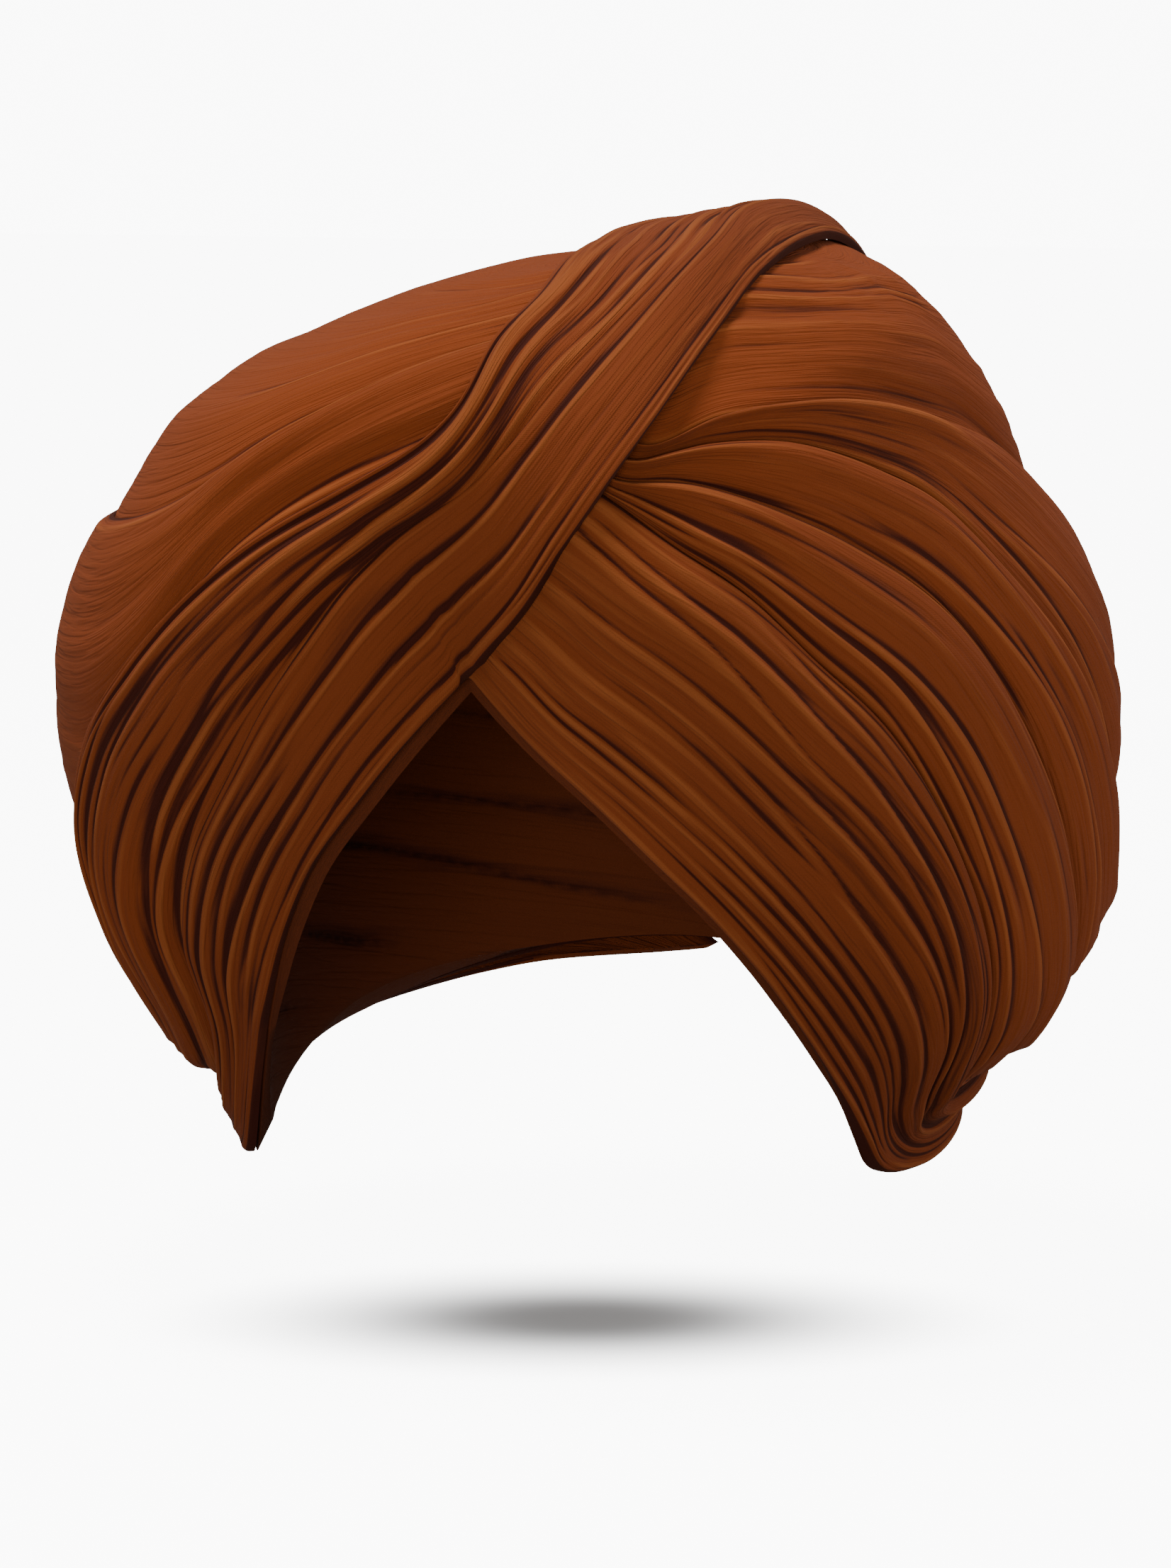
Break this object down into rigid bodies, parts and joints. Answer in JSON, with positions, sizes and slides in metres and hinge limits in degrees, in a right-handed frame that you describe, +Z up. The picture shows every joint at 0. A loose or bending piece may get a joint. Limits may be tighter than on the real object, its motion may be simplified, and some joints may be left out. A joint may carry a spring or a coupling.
{
  "type": "turban",
  "caption": "Turban of one long cotton cloth wound in overlapping turns, open below for the head, crossed over the brow by a flat pleated fold.",
  "frame": {"origin": "middle of the head's hat-size ring, about 15 mm above the brow, where the turban sits on a head", "axes": "+Z up, the wearer looks along -Y, the wearer's left is +X"},
  "size_m": [0.2801, 0.2688, 0.2506],
  "materials": {
    "deep_cloth": "matte dyed cotton voile, in shade",
    "side_cloth": "matte dyed cotton voile in soft pleats",
    "upper_cloth": "matte dyed cotton voile in soft pleats",
    "band_cloth": "matte dyed cotton voile folded flat"
  },
  "bodies": {
    "root": {"inner_turns": "deep_cloth", "left_temple_wrap": "side_cloth", "lower_side_wrap": "side_cloth", "middle_side_wrap": "upper_cloth", "upper_side_wrap": "upper_cloth", "crown_wrap": "upper_cloth", "right_temple_wrap": "side_cloth", "front_band": "band_cloth"}
  },
  "joints": []
}
